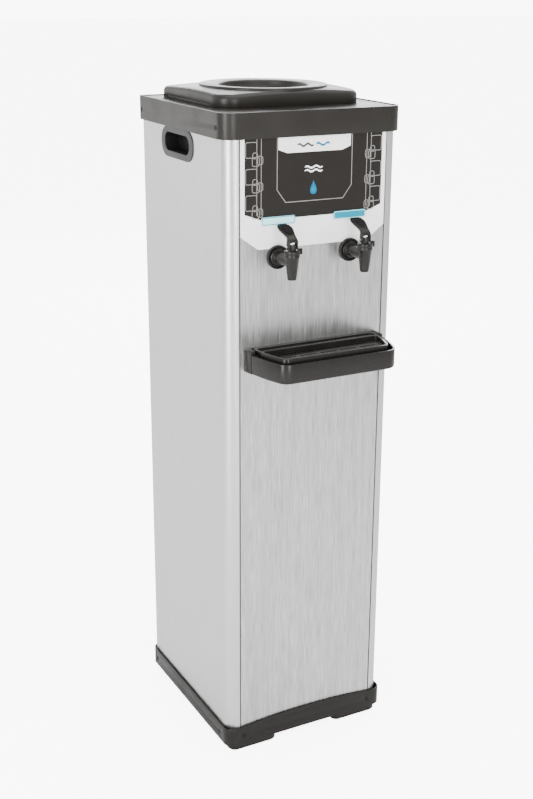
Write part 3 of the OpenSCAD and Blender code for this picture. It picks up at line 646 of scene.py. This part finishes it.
class DISPENSER_OT_grips(bpy.types.Operator):
    """Recessed grips with a rounded flange near the top of each side; the recess inside is darkened
    as painted shade.
    """

    bl_idname = "dispenser.grips"
    bl_label = "Side grips"

    def rounded_block(self, name, low, high, radius):
        block = new_block(name, low, high)
        with shaping(block):
            pick_edges(crosswise)
            bevel_picked(radius, 12)
        return block

    def execute(self, context):
        for s, side in ((-1, "left"), (1, "right")):
            def span(x0, x1, y0, y1, z0, z1):
                a, b = sorted((s * x0, s * x1))
                return at(a, y0, z0), at(b, y1, z1)

            grip = self.rounded_block(f"{side}_grip", *span(134, 135.5, 101, 209, 882, 925.2), 0.02)
            cup = self.rounded_block(f"{side}_cup", *span(112, 134, 105.3, 204.7, 886.5, 921.5),
                                     0.0157)
            for piece in (grip, cup):
                carve(piece, self.rounded_block("mouth", *span(114, 140, 113, 197, 891, 917),
                                                0.012))
            carve(cup, self.rounded_block("hook", *span(114, 128, 113, 197, 891, 919.5), 0.012))
            round_off(grip, 0.0005)
            hand_over(grip, "cabinet", "grip_plastic", (f"{side}_handle_cup",))
            # the recess wears the darkened grip finish as painted shade
            hand_over(cup, "cabinet", "grip_recess_shade", (f"{side}_handle_cup",))
            # sheet that closes the side panel's notch above the grip's rounded corners
            strip = new_block(f"{side}_notch_strip", *span(133, 134, 105, 205, 921.6, 947.9))
            for y0, y1 in ((105, 112), (198, 205)):
                carve(strip, new_block("corner", *span(133, 134, y0, y1, 912, 922)), "UNION")
            hand_over(strip, "cabinet", "side_steel")
        return {"FINISHED"}


def rounded_square(x, z, w, h, r, n=4):
    """(x, z) pairs round a rectangle with rounded corners, in millimetres."""
    pairs = []
    for k, (sx, sz) in enumerate(((1, 1), (-1, 1), (-1, -1), (1, -1))):
        for i in range(n + 1):
            a = math.radians(90 * k + 90 * i / n)
            pairs.append((x + sx * (w / 2 - r) + r * math.cos(a),
                          z + sz * (h / 2 - r) + r * math.sin(a)))
    return pairs


def wave_band(x, z, w, rise, width, turns, n=28):
    """(x, z) pairs round a wavy stroke, in millimetres."""
    upper, lower = [], []
    for i in range(n + 1):
        u = i / n
        mid = z + rise * math.sin(math.tau * turns * u)
        half = width / 2 * math.sqrt(max(0.05, 1 - abs(2 * u - 1) ** 6))
        upper.append((x - w / 2 + w * u, mid + half))
        lower.append((x - w / 2 + w * u, mid - half))
    return upper + lower[::-1]


class DISPENSER_OT_graphics(bpy.types.Operator):
    """Printed marks of the front: frame line, plain plate, drop and side pattern."""

    bl_idname = "dispenser.graphics"
    bl_label = "Printed front"

    def execute(self, context):
        y = -0.8
        t = sizes().print_height / MM
        w = sizes().line_width / MM
        frame_line = line_of("frame_line", [
            (-58.5, 947), (-58.5, 856), (-45, 838), (45, 838), (58.5, 856), (58.5, 947)], y, t, w)
        hand_over(frame_line, "cabinet", "line_ink")
        film = sheet_of("front_film", [
            (-113, 948), (-113, 796.5), (-86, 777), (86, 777), (113, 796.5), (113, 948)], 0, 0.4)
        hand_over(film, "cabinet", "film_white", ("fascia_film",))
        plate = sheet_of("name_plate", [
            (-56.5, 947), (-56.5, 909.5), (-43, 904.5), (42, 904.5), (55.5, 909.5), (55.5, 947)],
            y, t)
        hand_over(plate, "cabinet", "plate_ink")
        stroke = sheet_of("plate_wave_dark", wave_band(-15, 914, 26, 1.6, 3.2, 2), y - t, t)
        hand_over(stroke, "cabinet", "mark_dark")
        stroke = sheet_of("plate_wave_cyan", wave_band(12, 914, 22, 1.6, 3.2, 1.5), y - t, t)
        hand_over(stroke, "cabinet", "drop_ink")
        bars = [sheet_of(f"wave_{i}", wave_band(-2, 884 - 5 * i, 28, 1.3, 2.4, 2), y, t)
                for i in range(2)]
        hand_over(joined("panel_waves", bars), "cabinet", "mark_white")
        drop = []
        for i in range(40):
            a = math.tau * i / 40
            drop.append((-2 + 7.6 * math.sin(a) * math.sin(a / 2) ** 1.7,
                         856.5 + 9.6 * math.cos(a)))
        hand_over(sheet_of("drop", drop, y, t), "cabinet", "drop_ink")
        glint = [(-2 + (px + 2) * 0.62, 855 + (pz - 856.5) * 0.5) for px, pz in drop]
        hand_over(sheet_of("drop_glint", glint, y - t, t), "cabinet", "drop_light")
        for s, side in ((-1, "left"), (1, "right")):
            tiles = []
            for k in range(3):
                z = 911 - 35 * k
                for dx, dz, tw, th, r in ((97, 0, 17, 21, 2.6), (90, -15.5, 11.5, 12.5, 2.8),
                                          (83.5, -14, 8.5, 12, 3.2), (91, -7.5, 8, 8.5, 3)):
                    tiles.append(line_of("tile", rounded_square(s * dx, z + dz, tw, th, r),
                                         y, t, w * 0.85))
            for dx in (88.5, 82):
                tiles.append(sheet_of("rule", [(s * dx - 0.4, 824), (s * dx + 0.4, 824),
                                               (s * dx + 0.4, 946), (s * dx - 0.4, 946)], y, t))
            hand_over(joined(f"{side}_pattern", tiles), "cabinet", "line_ink")
        for s, name, ink in ((-1, "natural", "drop_ink"), (1, "cold", "label_pale")):
            border = line_of(f"{name}_label_border", rounded_square(s * 56, 815, 50.4, 10.4, 2.3),
                             -2, t, 0.9)
            hand_over(border, "cabinet", ink)
        return {"FINISHED"}


class DISPENSER_OT_taps(bpy.types.Operator):
    """Flanged taps with tapered barrels and forked thumb levers."""

    bl_idname = "dispenser.taps"
    bl_label = "Taps"

    def arm(self, name, x):
        return turned(name, [
            (0, 36), (5, 36), (5, 24), (8, 24), (8, 0), (16, 0), (16.5, -0.6), (16.5, -4),
            (16.2, -4.9), (15.4, -5.4), (14.8, -5.4), (14.4, -5), (14.3, -2.9), (13.9, -2.6),
            (12.5, -2.6), (12.1, -3), (12, -5), (11.4, -5.5), (11, -6), (11, -7.3),
            (10.6, -7.9), (9, -8.1), (8, -8.4), (7.6, -9.4), (7.6, -40), (0, -40)],
            at(x, 0, 765), (0, 1, 0), steps=64)

    def barrel(self, name, x):
        return turned(name, [
            (4.4, 742.5), (4.9, 742), (5.7, 742), (6.2, 742.7), (6.6, 746), (9.7, 772),
            (10.4, 773), (10.5, 776.2), (10.1, 777), (6.6, 777), (6.5, 776), (6.5, 760),
            (3, 758.5), (3, 756), (4.4, 755)], at(x, -43, 0), (0, 0, 1), steps=64)

    def lever(self, name, x):
        """Box-modelled lever: two legs, then a neck that widens into a hollow paddle."""
        hub = at(x, -43, 777)

        def spot(dx, dy, dz):
            return hub + Vector((dx, dy, dz)) * MM

        width, depth, tilt, where = 7.9, 4.3, 0, spot(0, 0, 18)
        lever = new_block(name, spot(-width, -depth, 15.4), spot(width, depth, 18))
        with shaping(lever):
            for cut in (-4.9, 4.9):
                bpy.ops.mesh.select_all(action="SELECT")
                bpy.ops.mesh.bisect(plane_co=spot(cut, 0, 0), plane_no=(1, 0, 0))
            pick_faces(lambda c, n: n.z < -0.9 and abs(c.x - hub.x) > 0.005)
            push_picked(z=-0.0054)
            push_picked(z=-0.0046)
            pick_faces(lambda c, n: n.z > 0.9)
            for dy, dz, new_tilt, new_width, new_depth in (
                    (1.6, 20.6, 24, 6.9, 3.5), (5.2, 23.6, 44, 6.6, 3.1),
                    (10.2, 26.6, 58, 8.4, 2.8), (16.2, 29.4, 64, 10.2, 2.6),
                    (22.6, 32.0, 68, 10.6, 2.4), (28.2, 33.8, 74, 8.8, 2.1),
                    (31.2, 34.4, 80, 5.4, 1.6)):
                new_place = spot(0, dy, dz)
                push_picked(*(new_place - where))
                turn_picked(tilt, new_place)
                bpy.ops.transform.resize(value=(new_width / width, new_depth / depth, 1),
                                         center_override=new_place)
                turn_picked(-new_tilt, new_place)
                width, depth, tilt, where = new_width, new_depth, new_tilt, new_place
            # the thumb's hollow in the middle of the paddle
            pick_faces(lambda c, n: n.z > 0.3 and abs(c.x - hub.x) < 0.002
                       and hub.y + 0.009 < c.y < hub.y + 0.029)
            bpy.ops.transform.translate(value=(0, 0.0006, -0.0019))
        apply_modifier(lever, "SUBSURF", levels=3, render_levels=3)
        return lever

    def execute(self, context):
        for s, side in ((-1, "natural"), (1, "cold")):
            x = TAP_X * s
            node = f"tap_body_{side}"
            hand_over(self.arm(f"tap_arm_{side}", x), "cabinet", "tap_plastic",
                      (node,))
            hand_over(self.barrel(f"tap_barrel_{side}", x), "cabinet", "tap_plastic",
                      (node,))
            bonnet = softened(f"tap_cap_{side}", f"tap_bonnet_{side}", 0.0004, 2)
            hand_over(bonnet, "cabinet", "tap_plastic", (f"tap_bonnet_{side}",))
            hand_over(self.lever(f"thumb_lever_{side}", x), f"lever_{side}", "tap_plastic",
                      (f"tap_lever_{side}",))
        return {"FINISHED"}


class DISPENSER_OT_tray(bpy.types.Operator):
    """Holder, drip tray and grille with drawn-in sides and rounded edges."""

    bl_idname = "dispenser.tray"
    bl_label = "Drip tray"

    arc_radius = 241.2
    arc_centre = (132.95, 13)

    def plan(self, inset, y0, y1, r0, r1):
        """Outline in millimetres: straight front and rear, sides on two large arcs,
        and corners rounded by r0 in front and r1 behind."""
        radius = self.arc_radius - inset
        cx, cy = self.arc_centre

        def corner(r, y):
            return math.sqrt((radius - r) ** 2 - (y - cy) ** 2) - cx, y

        front, rear = corner(r0, y0 + r0), corner(r1, y1 - r1)
        low = math.atan2(front[1] - cy, front[0] + cx)
        high = math.atan2(rear[1] - cy, rear[0] + cx)
        right = []
        for (x, y), r, a0, a1, n in ((front, r0, -math.pi / 2, low, 8),
                                     ((-cx, cy), radius, low, high, 20),
                                     (rear, r1, high, math.pi / 2, 8)):
            for i in range(n + 1):
                a = a0 + (a1 - a0) * i / n
                point = (x + r * math.cos(a), y + r * math.sin(a))
                if not right or math.dist(point, right[-1]) > 1e-6:
                    right.append(point)
        return right + [(-x, y) for x, y in reversed(right)]

    def slab(self, name, outline, z0, z1):
        deselect()
        bpy.ops.mesh.primitive_circle_add(vertices=len(outline), radius=0.01, fill_type="NGON")
        piece = settle(name)
        for vertex, (x, y) in zip(piece.data.vertices, outline):
            vertex.co = at(x, y, z0)
        with shaping(piece):
            bpy.ops.mesh.select_all(action="SELECT")
            push_picked(z=(z1 - z0) * MM)
            bpy.ops.mesh.select_all(action="SELECT")
            bpy.ops.mesh.normals_make_consistent(inside=False)
        return piece

    def execute(self, context):
        y0 = -84
        corner = sizes().tray_corner / MM
        tray = self.slab("tray_shell", self.plan(0, y0, -19.3, corner, 1.5), 608.5, 636)
        with shaping(tray):
            pick_faces(lambda c, n: n.z > 0.9)
            bpy.ops.mesh.inset(thickness=0.0025, depth=0)
            push_picked(z=-0.0245)
            floor = at(0, 0, 608.5).z
            rear = at(0, -19.6, 0).y
            pick_edges(lambda a, b: abs(a.z - floor) < 1e-5 and abs(b.z - floor) < 1e-5
                       and (a.y + b.y) / 2 < rear)
            bevel_picked(0.0032, 4)
        carve(tray, new_block("tongue", at(-90, -20.3, 611.2), at(90, -6, 613.7)), "UNION")
        carve(tray, new_block("lip", at(-90, -8.5, 612), at(90, -6, 622.5)), "UNION")
        round_off(tray, 0.0008)
        hand_over(tray, "drip_tray", "tray_plastic", ("drip_tray",))
        grille = self.slab("grille_frame", self.plan(9.5, -74, -22.5, 11, 2), 611.2, 641)
        carve(grille, self.slab("shelf", self.plan(9.5, -23.5, -5, 0.5, 7), 637, 641), "UNION")
        for inset, ya, yb, ra, rb, z0, z1 in (
                (13.5, -70, -25.5, 7, 3, 635, 642), (13.5, -21.5, -9, 2, 4, 639, 642),
                (12, -71.5, -24.3, 8.5, 1, 610, 632.5)):
            carve(grille, self.slab("hollow", self.plan(inset, ya, yb, ra, rb), z0, z1))
        # a narrow slot behind the rib's foot, then rows of drainage slits
        carve(grille, new_block("slot", at(-72, -32.5, 620), at(72, -29, 645)))
        for i in range(3):
            for j in range(5):
                x = -64 + 32 * j
                carve(grille, new_block("slit", at(x - 12.5, -64 + 8 * i, 620),
                                        at(x + 12.5, -61.5 + 8 * i, 645)))
        round_off(grille, 0.0009, 3)
        hand_over(grille, "drip_grille", "tray_plastic", ("drip_grille",))
        holder = softened("tray_bracket", "tray_holder", 0.0009)
        hand_over(holder, "cabinet", "tray_plastic", ("tray_holder",))
        return {"FINISHED"}


class DISPENSER_OT_base(bpy.types.Operator):
    """Plinth with an arched front and four feet."""

    bl_idname = "dispenser.base"
    bl_label = "Base"

    def execute(self, context):
        plinth = softened("plinth", "base", 0.0011)
        hand_over(plinth, "cabinet", "base_plastic", ("base",))
        return {"FINISHED"}


class DISPENSER_OT_shade_strips(bpy.types.Operator):
    """Dark strips that fill the front seams, with a thin lip over both edges: painted shade for the
    shadow inside the seam gaps.
    """

    bl_idname = "dispenser.gaskets"
    bl_label = "Seam gaskets"

    def execute(self, context):
        for s, side in ((-1, "left"), (1, "right")):
            a, b = sorted((s * 112.9, s * 114.6))
            # painted shade: a near-black strip in each front seam stands in for the shadow inside
            # the gap
            strip = new_block(f"{side}_shade_strip", at(a, -0.45, 15), at(b, 0.2, 947.5))
            with shaping(strip):
                pick_edges(lambda p, q: upright(p, q) and p.y < at(0, 1, 0).y)
                bevel_picked(0.0002, 2)
            hand_over(strip, "cabinet", "rubber")
        return {"FINISHED"}


class DISPENSER_OT_stage(bpy.types.Operator):
    """Pale floor, soft lights and the camera."""

    bl_idname = "dispenser.stage"
    bl_label = "Stage"

    def soft_light(self, name, place, target, size, power):
        place, target = Vector(place), Vector(target)
        deselect()
        bpy.ops.object.light_add(type="AREA", location=place)
        lamp = bpy.context.object
        lamp.name = name
        lamp.rotation_euler = (target - place).to_track_quat("-Z", "Y").to_euler()
        lamp.data.shape = "RECTANGLE"
        lamp.data.size, lamp.data.size_y = size
        lamp.data.energy = power

    def lift_whites(self, tree, socket, seen_by_object, seen_directly):
        """Show the paper white in the picture without lighting the object any more."""
        rays = tree.nodes.new("ShaderNodeLightPath")
        level = tree.nodes.new("ShaderNodeMapRange")
        level.inputs["To Min"].default_value = seen_by_object
        level.inputs["To Max"].default_value = seen_directly
        tree.links.new(rays.outputs["Is Camera Ray"], level.inputs["Value"])
        tree.links.new(level.outputs["Result"], socket)

    def execute(self, context):
        deselect()
        bpy.ops.mesh.primitive_plane_add(size=60, location=(0, 0, -0.0005))
        floor = bpy.context.object
        floor.name = "floor"
        paper = Finish("paper", roughness=0.9)
        paper.colour(paper.blend(paper.noise(3), (0.9, 0.9, 0.9), (0.93, 0.93, 0.93)))
        self.lift_whites(paper.tree, paper.shader.inputs["Emission Strength"], 0.0, 7.0)
        paper.shader.inputs["Emission Color"].default_value = (1, 1, 1, 1)
        floor.data.materials.append(paper.material)
        world = bpy.data.worlds.new("studio")
        world.use_nodes = True
        back = world.node_tree.nodes["Background"]
        back.inputs["Color"].default_value = (1, 1, 1, 1)
        self.lift_whites(world.node_tree, back.inputs["Strength"], 1.3, 9.0)
        context.scene.world = world
        self.soft_light("backdrop", (1.7, 3.2, 2.0), (0, 0, 0.95), (3.0, 1.6), 95)
        self.soft_light("left_rear", (-2.2, 2.6, 1.3), (0, 0, 0.6), (2.5, 2.5), 30)
        self.soft_light("left_front", (-2.6, -1.4, 1.2), (0, 0, 0.6), (0.8, 2.4), 96)
        self.soft_light("front", (-0.35, -3.4, 1.1), (0, 0, 0.6), (0.9, 2.4), 74)
        self.soft_light("overhead", (0.2, -0.6, 3.2), (0, 0, 0.6), (2.4, 2.4), 55)
        camera = bpy.data.objects.new("camera", bpy.data.cameras.new("camera"))
        context.scene.collection.objects.link(camera)
        camera.location = (-0.8427, -1.5786, 1.1316)
        yaw, pitch, roll = math.radians(-28.57), math.radians(18.34), math.radians(0.6)
        turn = (Matrix.Rotation(yaw, 3, "Z") @ Matrix.Rotation(math.pi / 2 - pitch, 3, "X")
                @ Matrix.Rotation(roll, 3, "Z"))
        camera.rotation_euler = turn.to_euler()
        camera.data.lens = 56.2
        camera.data.shift_x = -0.0253
        camera.data.shift_y = -0.0155
        context.scene.camera = camera
        return {"FINISHED"}


class DISPENSER_PT_panel(bpy.types.Panel):
    """Colours, sizes and build steps of the dispenser."""

    bl_label = "Dispenser"
    bl_idname = "DISPENSER_PT_panel"
    bl_space_type = "VIEW_3D"
    bl_region_type = "UI"
    bl_category = "Dispenser"

    def draw(self, context):
        for group in (look(), sizes()):
            box = self.layout.box()
            for name in group.__annotations__:
                box.prop(group, name)
        for step in STEPS:
            self.layout.operator(step.bl_idname)


STEPS = (DISPENSER_OT_finishes, DISPENSER_OT_cover, DISPENSER_OT_seat, DISPENSER_OT_grips,
         DISPENSER_OT_graphics, DISPENSER_OT_taps, DISPENSER_OT_tray, DISPENSER_OT_base,
         DISPENSER_OT_shade_strips, DISPENSER_OT_stage)
CLASSES = (DispenserLook, DispenserSizes, *STEPS, DISPENSER_PT_panel)


def register():
    for item in CLASSES:
        bpy.utils.register_class(item)
    bpy.types.Scene.dispenser_look = PointerProperty(type=DispenserLook)
    bpy.types.Scene.dispenser_sizes = PointerProperty(type=DispenserSizes)


def unregister():
    del bpy.types.Scene.dispenser_sizes
    del bpy.types.Scene.dispenser_look
    for item in reversed(CLASSES):
        bpy.utils.unregister_class(item)


def main():
    register()
    bpy.ops.dispenser.finishes()
    bpy.ops.dispenser.cover()
    bpy.ops.dispenser.seat()
    bpy.ops.dispenser.grips()
    bpy.ops.dispenser.graphics()
    bpy.ops.dispenser.taps()
    bpy.ops.dispenser.tray()
    bpy.ops.dispenser.base()
    bpy.ops.dispenser.gaskets()
    bpy.ops.dispenser.stage()


if __name__ == "__main__":
    main()
